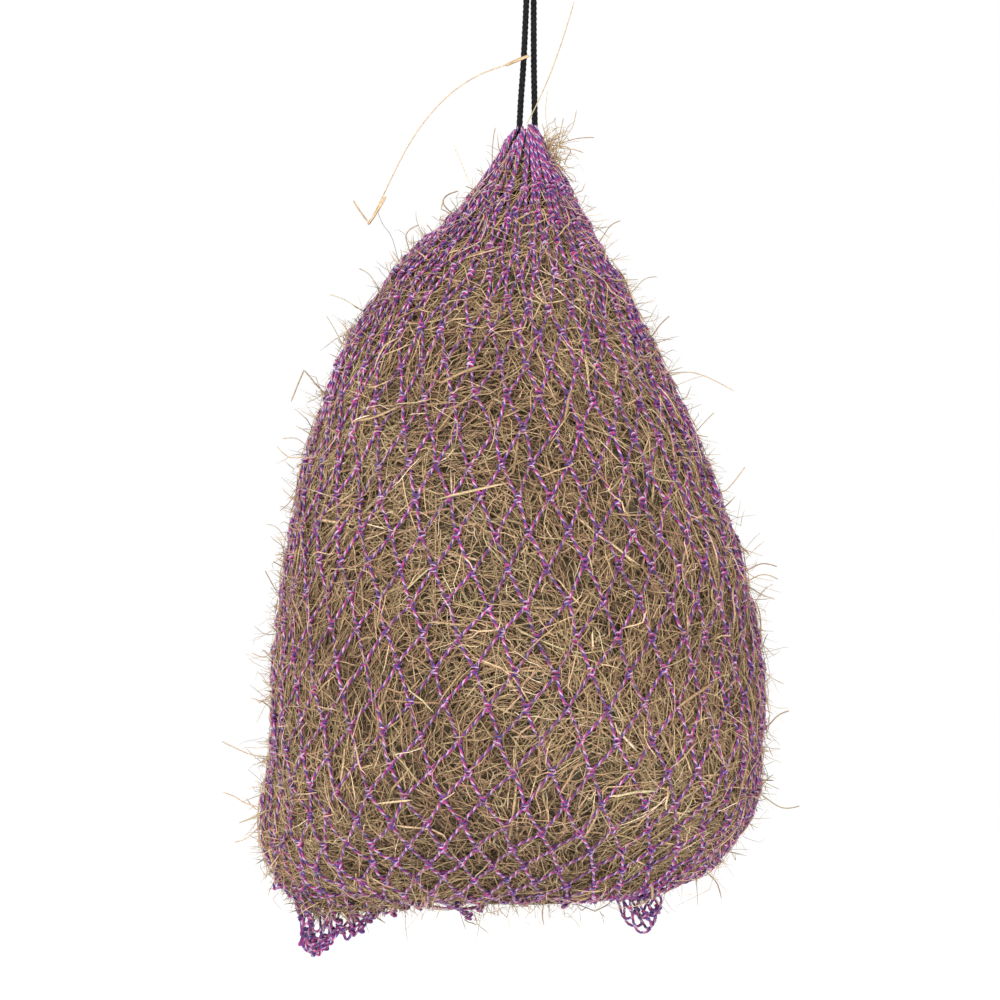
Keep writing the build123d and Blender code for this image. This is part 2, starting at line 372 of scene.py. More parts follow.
def cord_material():
    """Black braided cord: near-black filaments with a low gloss and a little dust."""
    material, tree, shader, add = nodes_of("black_cord", 0.7)
    shader.inputs["Specular IOR Level"].default_value = 0.15
    colour = ramp_of(add, noise(add, 300.0, 4.0), [(0.35, (0.0025, 0.0025, 0.003)), (0.8, (0.015, 0.015, 0.017))])
    finish(tree, shader, add, colour.outputs["Color"], noise(add, 3000.0, 2.0), 0.4, 0.0003)
    return material


def steel_material():
    """Zinc-plated bar: grey, finely scratched, duller in patches."""
    material, tree, shader, add = nodes_of("zinc_plate", 0.35)
    shader.inputs["Metallic"].default_value = 1.0
    patch = noise(add, 140.0, 5.0)
    colour = ramp_of(add, patch, [(0.35, (0.20, 0.205, 0.215)), (0.65, (0.36, 0.365, 0.375))])
    gloss = add("ShaderNodeMapRange", {"Value": patch}, **{"To Min": 0.5, "To Max": 0.25})
    tree.links.new(gloss.outputs["Result"], shader.inputs["Roughness"])
    finish(tree, shader, add, colour.outputs["Color"], noise(add, 1800.0, 2.0), 0.15, 0.0002)
    return material


def wear(obj, material):
    obj.data.materials.clear()
    obj.data.materials.append(material)
    return obj


TWINE = twine_material()
HAY = hay_material()
CORE = core_material()
CORD = cord_material()

# ---- Camera: level, turned 1.6 degrees about its own axis, as the hanging net leans in the picture ----
DISTANCE = 3.0
ROLL = math.radians(1.6)
camera_data = bpy.data.cameras.new("camera")
camera = bpy.data.objects.new("camera", camera_data)
bpy.context.scene.collection.objects.link(camera)
camera.location = (-0.016, -DISTANCE, -0.603)
camera.rotation_euler = (math.pi / 2, -ROLL, 0)
camera_data.lens = 36.0 * DISTANCE              # one metre wide at the net
bpy.context.scene.camera = camera

# ---- Cords ----
LOOP_ROUTE = [
    (-0.0036, 0, -0.0789), (-0.0036, 0, -0.071), (-0.0069, 0, -0.0575),
    (-0.0082, 0, -0.044), (-0.0058, 0, -0.0382), (0, 0, -0.0358), (0.0058, 0, -0.0382), (0.0082, 0, -0.044),
    (0.0072, 0, -0.0585), (0.0036, 0, -0.0705), (0.0036, 0, -0.0789),
]
DRAW_ROUTE = [
    (-0.0035, 0, -0.0986), (-0.0043, 0, -0.162), (-0.0064, 0, -0.202), (-0.0069, 0, -0.228),
    (-0.0073, 0, -0.2375), (-0.0050, 0, -0.2455), (0.0007, 0, -0.2485), (0.0064, 0, -0.2455),
    (0.0087, 0, -0.2375), (0.0083, 0, -0.228), (0.0073, 0, -0.202), (0.0054, 0, -0.162),
    (0.0036, 0, -0.0986),
]


def smooth_line(route, resolution=12):
    """Points read from the NURBS spline whose control points are the route."""
    curve = bpy.data.curves.new("route", "CURVE")
    curve.dimensions = "3D"
    spline = curve.splines.new("NURBS")
    spline.points.add(len(route) - 1)
    for point, place in zip(spline.points, route):
        point.co = (*place, 1)
    spline.order_u = 3
    spline.use_endpoint_u = True
    spline.resolution_u = resolution
    holder = bpy.data.objects.new("route", curve)
    mesh = bpy.data.meshes.new_from_object(holder)
    line = np.array([v.co for v in mesh.vertices])
    bpy.data.objects.remove(holder)
    bpy.data.meshes.remove(mesh)
    return line


def resample(line, spacing):
    """Even points along a line."""
    length = run_of(line)[-1]
    at = np.linspace(0, length, max(4, int(length / spacing)) + 1)
    return places_at(line, at), at


def braid(name, line, carriers=8):
    """Braided cord along a line: carriers wind both ways, over and under, round a core."""
    line, at = resample(line, 0.0011)
    reference = np.tile([0.0, 1.0, 0.0], (1, len(line), 1))
    _, side, up = frames(line[None], reference)
    half = carriers // 2
    middle_r, weave = 0.72 * CORD_R, 0.10 * CORD_R
    paths, ups = [], []
    for number in range(carriers):
        way = 1 if number % 2 else -1
        angle = way * 2 * math.pi * at / BRAID_PITCH + 2 * math.pi * (number // 2) / half
        radius = middle_r + way * weave * np.cos(half * angle)
        out = side[0] * np.cos(angle)[:, None] + up[0] * np.sin(angle)[:, None]
        paths.append(line + out * radius[:, None])
        ups.append(out)
    angles = np.linspace(0, 2 * math.pi, 8, endpoint=False)
    points, quads, caps = sweep(
        np.array(paths), np.array(ups), angles, np.full(8, 0.40 * CORD_R), flat=np.full(carriers, 0.62)
    )
    core, core_quads, core_caps = sweep(line[None], reference, angles, np.full(8, 0.74 * CORD_R))
    start = len(points)
    obj = make_mesh(
        name, np.concatenate([points, core]),
        [quads, core_quads + start, caps, core_caps + start],
    )
    return wear(obj, CORD), line, at[-1]


draw_cord, draw_line, draw_length = braid("draw_cord", smooth_line(DRAW_ROUTE))
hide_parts("draw_cord_left", "draw_cord_right", "draw_cord_bight")
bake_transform(draw_cord)

hang_loop, loop_line, loop_length = braid("hang_loop_cord", smooth_line(LOOP_ROUTE))
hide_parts("hang_loop")
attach(hang_loop, "loop")


def knot_line():
    """A trefoil drawn tight, the shape of the overhand knot in the doubled cord."""
    turn = np.linspace(0, 2 * math.pi, 160, endpoint=False)
    x = (np.sin(turn) + 1.9 * np.sin(2 * turn)) * 0.00290
    z = (np.cos(turn) - 1.9 * np.cos(2 * turn)) * 0.00345
    y = -np.sin(3 * turn) * 0.0037
    return np.stack([x, y, z], axis=1)


low, high = (np.array(corner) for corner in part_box("hang_knot"))
knot_middle = (low + high) / 2
knot_points = knot_line() + knot_middle + np.array([0, 0, -0.0008])
hang_knot, _, _ = braid("hang_knot_cord", np.concatenate([knot_points, knot_points[:1]]))
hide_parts("hang_knot")
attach(hang_knot, "loop")

for name in ("cord_end_left", "cord_end_right"):
    low, high = (np.array(corner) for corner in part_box(name))
    way = -1 if "left" in name else 1
    inner = knot_middle + np.array([way * 0.006, 0, -0.001])
    outer = np.array([(high if way > 0 else low)[0] - way * 0.001, 0, low[2] + 0.003])
    bend = (inner + outer) / 2 + np.array([0, 0, 0.001])
    end_piece, _, _ = braid(name + "_cord", smooth_line([tuple(inner), tuple(bend), tuple(outer)]))
    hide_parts(name)
    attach(end_piece, "loop")

steel = steel_material()
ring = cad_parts["hang_ring"]
ring.data.materials.clear()
ring.data.materials.append(steel)

# ---- Netting ----
COLUMNS = 2 * MESHES_ROUND
SEAM_LEFT, SEAM_RIGHT = -0.203, 0.150           # ends of the base seam, along X under the bag
TWIST = 0.85                                    # the net turns round the bag as it goes down, radians a metre
TWIST_FROM, TWIST_TO = -0.36, -0.86
# the seam hangs free of the hay at the left corner: X and height along its edge
FLAP_EDGE = [(-0.203, -1.030), (-0.195, -1.049), (-0.181, -1.053), (-0.168, -1.037), (-0.152, -1.032),
             (-0.127, -1.018), (-0.098, -1.008), (-0.082, -1.002), (-0.050, -0.990)]


def under_height(x, y):
    """Height of the bag's underside at plan points."""
    heights = np.linspace(PROFILE[0, 0], TURN_UNDER_Z, 160)
    middle, half_width, half_depth = section(heights)
    level = ((x[..., None] - middle) / half_width) ** 2 + (y[..., None] / half_depth) ** 2
    inside = level <= 1.0
    first = np.argmax(inside, axis=-1)
    first = np.where(inside.any(axis=-1), first, len(heights) - 1)
    return heights[first]


def net_rows():
    """Heights of the rows of knots down the sides, each one bar's drop below the last."""
    rows = [MOUTH_Z + 0.002, MOUTH_Z + 0.002 - TOP_BAR * 0.94]
    while rows[-1] > TURN_UNDER_Z:
        z = rows[-1]
        middle, half_width, half_depth = section(np.array([z - 0.015, z - 0.020]))
        girth = math.pi * (half_width[0] + half_depth[0])
        spread = girth / MESHES_ROUND / 2
        drop = math.sqrt(max(BAR ** 2 - spread ** 2, (0.5 * BAR) ** 2))
        lean = (half_width[1] - half_width[0] + half_depth[1] - half_depth[0]) / 2 / 0.005
        rows.append(z - drop / math.sqrt(1 + lean ** 2))
    return np.array(rows)


def net_knots():
    """Places of the knots: rows down the sides, then rows under the bag to the base seam."""
    heights = net_rows()
    twist = TWIST * (TWIST_FROM - np.clip(heights, TWIST_TO, TWIST_FROM))
    angle = 2 * math.pi * np.arange(COLUMNS)[None, :] / COLUMNS + twist[:, None]
    middle, half_width, half_depth = (v[:, None] for v in section(heights))
    level = np.repeat(heights[:, None], COLUMNS, 1)
    sides = np.stack([middle + half_width * np.cos(angle), -half_depth * np.sin(angle), level], axis=-1)
    edge = sides[-1]
    round_bag = np.abs((angle[-1] + math.pi) % (2 * math.pi) - math.pi) / math.pi
    seam_x = SEAM_RIGHT + (SEAM_LEFT - SEAM_RIGHT) * round_bag
    seam_z = under_height(seam_x, 0 * seam_x)
    flap_x, flap_z = np.array(FLAP_EDGE).T
    seam_z = np.minimum(seam_z, np.interp(seam_x, flap_x, flap_z))
    seam = np.stack([seam_x, 0 * seam_x, seam_z], axis=-1)
    share = np.linspace(0, 1, 80)[None, :, None]
    plan = edge[:, None, :] * (1 - share) + seam[:, None, :] * share
    plan[..., 2] = np.minimum(plan[..., 2], under_height(plan[..., 0], plan[..., 1]))
    under = np.zeros((UNDER_ROWS, COLUMNS, 3))
    for column in range(COLUMNS):
        length = run_of(plan[column])[-1]
        step = max(length / UNDER_ROWS, 0.8 * BAR)
        at = np.minimum((np.arange(UNDER_ROWS) + 1) * step, length)
        under[:, column] = places_at(plan[column], at)
    return sides, under, angle[-1]


sides, under, column_angle = net_knots()
knots = np.concatenate([sides, under])
ROWS = len(knots)
FIRST_UNDER = len(sides)

# unevenness: each knot is a little off its place, rows near the mouth are staggered
jitter = random.normal(0, 1, knots.shape) * 0.0018
jitter[1:6, :, 2] += random.normal(0, 0.0045, (5, COLUMNS))
drift = np.sin(column_angle[None, :] * 3 + np.arange(ROWS)[:, None] * 0.35) * 0.003
knots = knots + jitter
knots[..., 2] += drift * np.clip((np.arange(ROWS) / 8), 0, 1)[:, None]
knots[0, :, 2] = MOUTH_Z + 0.0035 - np.abs(random.normal(0, 0.006, COLUMNS))
knots[1:FIRST_UNDER + 1] = settle(knots[1:FIRST_UNDER + 1], -TWINE_R)
knots[FIRST_UNDER:] = keep_off(knots[FIRST_UNDER:], -TWINE_R)
knots[FIRST_UNDER:, :, 1] += np.where(np.sin(column_angle) >= 0, -0.0018, 0.0018)


def bars():
    """Ends of every bar of twine: each knot joins two knots of the row below."""
    ends = []
    for row in range(ROWS - 1):
        for column in range(row % 2, COLUMNS, 2):
            for way in (-1, 1):
                ends.append((row, column, row + 1, (column + way) % COLUMNS, way))
    return np.array(ends)


def twine_paths(ends, steps=23):
    """Curved paths of the bars over the hay, with slack ones hanging as loops."""
    upper = knots[ends[:, 0], ends[:, 1]]
    lower = knots[ends[:, 2], ends[:, 3]]
    _, normal = outside((upper + lower) / 2)
    down = unit(lower - upper)
    straight = np.stack([0 * down[:, 0], 0 * down[:, 0], -np.ones(len(down))], axis=1)
    grain = unit(np.where((np.abs(normal[:, 2:]) > 0.8), down, straight))
    side = unit(np.cross(normal, grain)) * ends[:, 4:5]
    side *= np.sign(np.sum(side * (lower - upper), axis=1, keepdims=True))
    start = upper + grain * 0.0022 + side * 0.0013
    stop = lower - grain * 0.0022 - side * 0.0013
    chord = np.linalg.norm(stop - start, axis=1)
    slack = np.sqrt(np.maximum(0.375 * BAR * (BAR - 0.004 - chord), 0))
    corner = np.clip((-0.12 - lower[:, 0]) / 0.05, 0, 1)
    slack *= np.where(ends[:, 0] < FIRST_UNDER, 0.12, 0.30 + 0.35 * corner)
    t = np.linspace(0, 1, steps)[None, :, None]
    hang = unit(normal * 0.35 - UP[None, :] * 1.0 + random.normal(0, 0.25, normal.shape))
    bow = random.normal(0, 0.0007, (len(ends), 1, 1)) * side[:, None, :]
    path = start[:, None] * (1 - t) + stop[:, None] * t
    path = path + 4 * t * (1 - t) * (hang[:, None, :] * slack[:, None, None] + bow)
    return keep_off(path, -TWINE_R), normal


PLY_ANGLES = np.radians([0, 38, 82, 120, 158, 202, 240, 278, 322])
PLY_RADII = np.tile([0.60, 1.0, 1.0], 3)
PLY_OF_SIDE = np.array([0, 0, 0, 1, 1, 1, 1, 2, 2]) / 3.0 + 0.12


def twine(paths, references, closed=False):
    """Three-ply twisted twine along paths (n, k, 3)."""
    run = np.concatenate(
        [np.zeros((len(paths), 1)), np.cumsum(np.linalg.norm(np.diff(paths, axis=1), axis=2), axis=1)], axis=1
    )
    start = random.uniform(0, 2 * math.pi, (len(paths), 1))
    turn = start + run / PLY_PITCH * 2 * math.pi
    if closed:
        whole = run[:, -1:] * paths.shape[1] / (paths.shape[1] - 1)
        turns = np.maximum(1, np.round(whole / PLY_PITCH))
        turn = start + run / whole * turns * 2 * math.pi
    swell = 1 + 0.05 * np.sin(run / 0.009 + start * 5)
    points, quads, caps = sweep(paths, references, PLY_ANGLES, PLY_RADII * TWINE_R, turn, swell, closed=closed)
    tone = np.repeat(random.uniform(0, 0.5, len(paths)), quads.shape[1] * quads.shape[2])
    ply = np.tile(PLY_OF_SIDE, quads.shape[0] * quads.shape[1])
    flat = [quads]
    if caps is not None:
        flat.append(caps)
        tone = np.concatenate([tone, np.full(len(caps), 0.3)])
        ply = np.concatenate([ply, np.full(len(caps), 0.4)])
    return points, flat, {"ply": ply, "tone": tone}


def knot_rings(places, normal):
    """Two tilted turns of twine round each knot: one high, one low."""
    down = unit(-UP[None, :] + normal * np.sum(normal * UP, axis=1, keepdims=True) + 1e-6)
    side = unit(np.cross(normal, down))
    turn = np.linspace(0, 2 * math.pi, 13)[:-1]
    rings, refs = [], []
    for high, lean, width in ((-0.0021, 0.9, 0.0021), (0.0003, -1.3, 0.0026), (0.0026, 0.8, 0.0018)):
        size = random.uniform(1.10, 1.35, (len(places), 1, 1))
        tilt = lean * 0.0013 * random.uniform(0.4, 1.3, (len(places), 1))
        ring = (
            side[:, None, :] * (np.cos(turn) * width)[None, :, None]
            + normal[:, None, :] * (np.sin(turn) * 0.0020)[None, :, None]
            + down[:, None, :] * (high + tilt * np.cos(turn + 0.6)[None, :])[..., None]
        )
        rings.append(places[:, None, :] + ring * size)
        refs.append(np.repeat(down[:, None, :], len(turn), 1))
    return np.concatenate(rings), np.concatenate(refs)


def join(parts):
    """Joins (points, polygons, values) lists into one set of arrays."""
    points, polygons, values, start = [], [], {"ply": [], "tone": []}, 0
    for part_points, part_polygons, part_values in parts:
        points.append(part_points)
        polygons += [q + start for q in part_polygons]
        for key in values:
            values[key].append(part_values[key])
        start += len(part_points)
    return np.concatenate(points), polygons, {key: np.concatenate(v) for key, v in values.items()}


all_bars = bars()
bar_paths, bar_normals = twine_paths(all_bars)
knot_row, knot_column = np.meshgrid(np.arange(ROWS), np.arange(COLUMNS), indexing="ij")
used = ((knot_row + knot_column) % 2 == 0) & (knot_row > 0)
knot_row, knot_column = knot_row[used], knot_column[used]
knot_places = knots[knot_row, knot_column]
_, knot_normals = outside(knot_places)

BANDS = [round(ROWS * number / 6) for number in range(7)]


def net_piece(name, node, bar_mask, knot_mask):
    """One piece of the netting, riding with the net."""
    reference = np.repeat(bar_normals[bar_mask][:, None, :], bar_paths.shape[1], 1)
    straight = twine(bar_paths[bar_mask], reference)
    rings, refs = knot_rings(knot_places[knot_mask], knot_normals[knot_mask])
    points, polygons, values = join([straight, twine(rings, refs, closed=True)])
    obj = wear(make_mesh(name, points, polygons, values), TWINE)
    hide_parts(*node)
    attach(obj, "net")
    return obj


bar_front = knots[all_bars[:, 0], all_bars[:, 1]][:, 1] + knots[all_bars[:, 2], all_bars[:, 3]][:, 1] < 0
knot_front = knot_places[:, 1] < 0
for number, (first, last) in enumerate(zip(BANDS, BANDS[1:])):
    in_band = (all_bars[:, 0] >= first) & (all_bars[:, 0] < last)
    knot_band = (knot_row >= first) & (knot_row < last) if last < ROWS else knot_row >= first
    for face, bar_side, knot_side in (("front", bar_front, knot_front), ("back", ~bar_front, ~knot_front)):
        stands_for = [f"net_{face}_panel"]
        if number == 0:
            stands_for.append("mouth_gather")
        if number == len(BANDS) - 2:
            stands_for.append("corner_flap_left")
        net_piece(f"net_{face}_{number + 1}", stands_for, in_band & bar_side, knot_band & knot_side)


# X, height of the top, width, length and lean in degrees of each slack mesh at the right of the base
LOOSE_LOOPS = [
    (0.112, -0.990, 0.013, 0.022, 40), (0.118, -0.991, 0.018, 0.032, 36), (0.126, -0.991, 0.020, 0.036, 30),
    (0.135, -0.990, 0.017, 0.034, 20), (0.144, -0.989, 0.014, 0.030, 8), (0.151, -0.987, 0.010, 0.022, -8),
]


def loose_loops():
    """Slack meshes that hang below the right of the base, each from its own knot."""
    paths, knots_at = [], []
    turn = np.linspace(0, 2 * math.pi, 41)[:-1]
    for x, top, width, height, lean in LOOSE_LOOPS:
        swing = math.radians(lean)
        start = np.array([x, random.uniform(-0.040, -0.010), top])
        across = unit(np.array([math.cos(swing), random.uniform(-0.4, 0.4), 0.15]))
        pinch = 0.30 + 0.70 * np.clip((1 - np.cos(turn)) / 1.3, 0, 1)
        drop = (1 - np.cos(turn)) / 2 * height
        path = start + across * (np.sin(turn) * pinch * width / 2)[:, None] - UP * drop[:, None]
        path = path + np.array([math.sin(swing) * 0.75, 0, 0]) * drop[:, None]
        path = path + np.array([0.0016, 0.002, 0]) * np.sin(3 * turn + x * 900)[:, None]
        paths.append(path)
        knots_at.append(path[0])
        if height > 0.029:
            knots_at.append(path[len(turn) // 4] - UP * 0.002)
    references = np.tile([0.0, -1.0, 0.0], (len(paths), len(turn), 1))
    knots_at = np.array(knots_at)
    rings, refs = knot_rings(knots_at, np.tile([0.0, -1.0, 0.0], (len(knots_at), 1)))
    points, polygons, values = join(
        [twine(np.array(paths), references, closed=True), twine(rings, refs, closed=True)]
    )
    obj = wear(make_mesh("corner_loops", points, polygons, values), TWINE)
    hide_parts("corner_loops_right")
    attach(obj, "net")


loose_loops()


def lacing(name, node, line):
    """Twine wound in a loose spiral along a seam line."""
    line, at = resample(line, 0.0018)
    _, normal = outside(line)
    tangent = unit(np.gradient(line, axis=0))
    across = unit(np.cross(normal, tangent))
    angle = at / 0.030 * 2 * math.pi
    path = line + across * (np.sin(angle) * 0.0035)[:, None] + normal * (np.cos(angle) * 0.0022 + 0.001)[:, None]
    points, polygons, values = twine(path[None], normal[None])
    obj = wear(make_mesh(name, points, polygons, values), TWINE)
    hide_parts(node)
    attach(obj, "net")


def flank_line(side):
    """The bag's side, in the plane of the seam, from the mouth down to where it turns under."""
    heights = np.arange(MOUTH_Z - 0.070, FLANK_END_Z, -0.020)
    middle, half_width, _ = section(heights)
    line = np.stack([middle + side * half_width, 0 * heights, heights], axis=1)
    return smooth_line([tuple(place) for place in settle(line, -TWINE_R)])


def base_line():
    """The edge of the net along the base seam, from corner to corner."""
    last = knots[ROWS - 1]
    order = np.argsort(last[:, 0])[1::4]
    return smooth_line([(last[c, 0], 0.0, last[c, 2]) for c in order])


lacing("lacing_left", "side_lacing_left", flank_line(-1))
lacing("lacing_right", "side_lacing_right", flank_line(1))
lacing("lacing_base", "base_lacing", base_line())

# ---- Hay ----
HAY_COUNT = 47000
FUZZ_COUNT = 7600
FUZZ_TUFTS = 1100


def hay_places(count):
    """Scattered places all over the filling, even by area."""
    heights = np.linspace(BASE_Z - 0.003, MOUTH_Z - 0.020, 900)
    middle, half_width, half_depth = section(heights)
    girth = half_width + half_depth
    slope = np.hypot(np.gradient(heights), np.gradient(girth) / 2)
    area = np.cumsum(girth * slope)
    z = np.interp(random.uniform(0, area[-1], count), area, heights)
    angle = random.uniform(0, 2 * math.pi, count)
    middle, half_width, half_depth = section(z)
    return np.stack([middle + half_width * np.cos(angle), half_depth * np.sin(angle), z], axis=1)


def stalks(places, lean, spread, length, bend, height, rise, steps=6):
    """Curved paths of stalks lying in the surface: lean is their angle from level, rise lifts one end."""
    count = len(places)
    _, normal = outside(places)
    level = unit(np.cross(np.tile(UP, (count, 1)), normal) + 1e-6)
    slope = np.cross(normal, level)
    angle = lean + random.normal(0, 1, count) * spread
    along = level * np.cos(angle)[:, None] + slope * np.sin(angle)[:, None]
    across = np.cross(normal, along)
    t = np.linspace(-0.5, 0.5, steps)
    wave = bend[:, None] * (4 * t ** 2 - 0.33) + (bend * 0.5)[:, None] * np.sin(7 * t + 1)
    kink = random.normal(0, 0.45, count) * (random.uniform(0, 1, count) < 0.45)
    elbow = random.uniform(-0.3, 0.3, count)
    wave = wave + (kink * length)[:, None] * np.abs(t - elbow[:, None])
    path = places[:, None] + along[:, None] * (t * length[:, None])[..., None] + across[:, None] * wave[..., None]
    lift = height[:, None] + rise[:, None] * np.clip(t * 2, 0, 1) ** 2
    return settle(path, lift, 3, 0.03, 0.03), normal


def hay_flow(places):
    """Angle of the stalks from level: near upright at the top, swirling lower down."""
    x, y, z = places.T
    upright = np.clip((z + 0.62) / 0.30, 0, 1) * 1.15
    swirl = 1.3 * np.sin(9 * x + 6 * z + 1.0) + 0.9 * np.sin(14 * z - 11 * y + 4 * x)
    return swirl * (1 - 0.6 * upright) + upright * np.where(x > 0, -1.0, 1.0)


STALK_ANGLES = np.radians([90, 210, 330])


def hay_mesh(name, path, normal, width, flat, tone, shade):
    """Three-sided closed stalks along paths, each with its tone and its level of painted shade."""
    steps = path.shape[1]
    reference = np.repeat(normal[:, None, :], steps, 1)
    taper = np.ones(steps)
    taper[0] = taper[-1] = 0.35
    taper = width[:, None] * taper[None, :]
    twist = random.uniform(-0.9, 0.9, (len(path), 1)) + random.uniform(-1.5, 1.5, (len(path), 1)) * np.linspace(
        0, 1, steps
    )
    points, quads, caps = sweep(path, reference, STALK_ANGLES, np.ones(3), twist, taper, flat)
    per_stalk = quads.shape[1] * quads.shape[2]
    values = {
        key: np.concatenate([np.repeat(value, per_stalk), np.tile(value, 2)])
        for key, value in (("tone", tone), ("shade", shade))
    }
    return wear(make_mesh(name, points, [quads, caps], values), HAY)


def make_hay():
    """The filling's visible stalks, one piece for each wad of the frame."""
    places = hay_places(HAY_COUNT)
    count = len(places)
    length = np.clip(random.lognormal(math.log(0.038), 0.50, count), 0.010, 0.12)
    bend = random.normal(0, 0.007, count) * np.clip(length / 0.06, 0.3, 2)
    layer = random.uniform(0, 1, count)
    height = -0.0125 + 0.0105 * layer ** 0.8
    over = random.uniform(0, 1, count) < 0.045
    height = np.where(over, random.uniform(0.0012, 0.0035, count), height)
    length = np.where(over, np.minimum(length, 0.040), length)
    poke = random.uniform(0, 1, count) < 0.045
    rise = np.where(poke, random.uniform(0.006, 0.024, count), random.normal(0, 0.0012, count))
    length = np.where(poke, np.clip(length, 0.02, 0.05), length)
    width = np.clip(random.lognormal(math.log(0.00043), 0.40, count), 0.00024, 0.0012)
    blade = random.uniform(0, 1, count) < 0.025
    width = np.where(blade, random.uniform(0.0011, 0.0019, count), width)
    length = np.where(blade, np.maximum(length, random.uniform(0.035, 0.07, count)), length)
    flat = np.where(blade, 0.22, random.uniform(0.5, 0.95, count))
    bend *= np.clip(0.00045 / width, 0.15, 1.0)
    tone = np.clip(random.beta(2.0, 1.7, count) + 0.10 * np.sin(18 * places[:, 0] + 15 * places[:, 2]), 0, 1)
    # painted shade: stalks lower under the surface get lower values and are drawn darker, stalks over the twine
    # get more light
    shade = np.clip(0.12 + 0.88 * (height + 0.0125) / 0.0105 + 0.3 * over, 0, 1)
    spread = random.choice([0.25, 0.6, 1.5], count, p=[0.14, 0.34, 0.52])
    path, normal = stalks(places, hay_flow(places), spread, length, bend, height, rise)
    path[..., 2] = np.clip(path[..., 2], BASE_Z - 0.006, MOUTH_Z - 0.008)
    edges = [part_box(f"hay_flake_{n}")[0][2] + 0.012 for n in range(1, 6)]
    band = np.searchsorted(-np.array(edges), -places[:, 2])
    for number in range(6):
        for face, side in (("front", places[:, 1] < 0), ("back", places[:, 1] >= 0)):
            mask = (band == number) & side
            obj = hay_mesh(
                f"hay_{face}_{number + 1}", path[mask], normal[mask], width[mask], flat[mask], tone[mask],
                shade[mask],
            )
            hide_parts(f"hay_flake_{number + 1}")
            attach(obj, "net")


def make_fuzz():
    """Fine crooked stalk ends and leaf crumbs that stand out of the net, gathered in loose tufts."""
    roots = hay_places(FUZZ_TUFTS)
    tuft = random.integers(0, FUZZ_TUFTS, FUZZ_COUNT)
    places = settle(roots[tuft] + random.normal(0, 0.009, (FUZZ_COUNT, 3)), -0.003, 2)
    places[..., 2] = np.minimum(places[..., 2], MOUTH_Z - 0.012)
    _, normal = outside(places)
    lean = unit(random.normal(0, 1, roots.shape))[tuft]
    way = normal * random.uniform(0.1, 0.9, (FUZZ_COUNT, 1)) + lean * 0.5
    way = unit(way + random.normal(0, 0.45, places.shape))
    steps = 6
    reach = np.clip(random.lognormal(math.log(0.017), 0.50, (FUZZ_COUNT, 1)), 0.005, 0.045)
    path = [places]
    for _ in range(steps - 1):
        crook = random.normal(0, 1, places.shape) * random.choice([0.12, 0.75], (FUZZ_COUNT, 1), p=[0.6, 0.4])
        way = unit(way + crook)
        path.append(path[-1] + way * reach / (steps - 1))
    width = np.clip(random.lognormal(math.log(0.00030), 0.35, FUZZ_COUNT), 0.00016, 0.0008)
    tone = random.uniform(0.25, 1.0, FUZZ_COUNT)
    path = np.stack(path, axis=1)
    for face, side in (("front", places[:, 1] < 0), ("back", places[:, 1] >= 0)):
        count = side.sum()
        obj = hay_mesh(
            f"hay_fuzz_{face}", path[side], normal[side], width[side], np.full(count, 0.8), tone[side],
            np.full(count, 0.9),
        )
        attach(obj, "net")


make_hay()
make_fuzz()


def make_corner_hay(count=2200):
    """Hay that has slid down between the two faces of the net at the left corner."""
    x = random.uniform(-0.232, -0.030, count)
    edge_x = [-0.232, -0.205, -0.190, -0.160, -0.125, -0.090, -0.060, -0.030]
    edge_z = [-0.976, -1.012, -1.024, -1.020, -1.013, -1.003, -0.994, -0.988]
    floor_z = np.interp(x, edge_x, edge_z)
    z = floor_z + random.uniform(0, 0.045, count)
    y = random.normal(0, 0.006, count) * np.clip((floor_z + 0.07 - z) / 0.02, 0.6, 2)
    places = np.stack([x, y, z], axis=1)
    way = unit(random.normal(0, 1, (count, 3)) * np.array([1.0, 0.25, 0.8]))
    bend = unit(random.normal(0, 1, (count, 3))) * random.uniform(0, 0.005, (count, 1))
    t = np.linspace(-0.5, 0.5, 6)[None, :, None]
    length = np.clip(random.lognormal(math.log(0.024), 0.4, (count, 1, 1)), 0.008, 0.05)
    path = places[:, None] + way[:, None] * t * length + bend[:, None] * (4 * t ** 2)
    normal = np.tile([0.0, -1.0, 0.0], (count, 1))
    width = np.clip(random.lognormal(math.log(0.00045), 0.4, count), 0.00024, 0.0012)
    # the hay between the two faces gets painted shade at random levels
    obj = hay_mesh(
        "hay_corner", path, normal, width, np.full(count, 0.7), random.beta(2.0, 1.7, count),
        random.uniform(0.35, 1.0, count),
    )
    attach(obj, "net")


make_corner_hay()


def make_core():
    """Packed hay, painted dark as shade, that closes the view between the stalks."""
    heights = np.concatenate([[MOUTH_Z - 0.010], np.linspace(MOUTH_Z - 0.03, BASE_Z + 0.012, 150)])
    angle = np.linspace(0, 2 * math.pi, 180, endpoint=False)
    middle, half_width, half_depth = (v[:, None] for v in section(heights))
    inset = 0.011 * np.clip((MOUTH_Z - heights) / 0.06, 0.3, 1)[:, None]
    level = np.repeat(heights[:, None], len(angle), 1)
    level = level + 0.012 * np.clip((-0.89 - level) / 0.07, 0, 1)   # drawn up where the bag turns under
    x = middle + (half_width - inset) * np.cos(angle)
    points = np.stack([x, (half_depth - inset) * np.sin(angle), level], axis=-1)
    points[..., :2] += random.normal(0, 0.0011, points[..., :2].shape)
    index = np.arange(points.shape[0] * points.shape[1]).reshape(points.shape[:2])
    here, below = index[:-1], index[1:]
    quads = np.stack([here, below, np.roll(below, -1, 1), np.roll(here, -1, 1)], axis=-1)
    obj = make_mesh("hay_core", points, [quads[None], index[:1], index[-1:, ::-1]])
    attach(wear(obj, CORE), "net")


make_core()

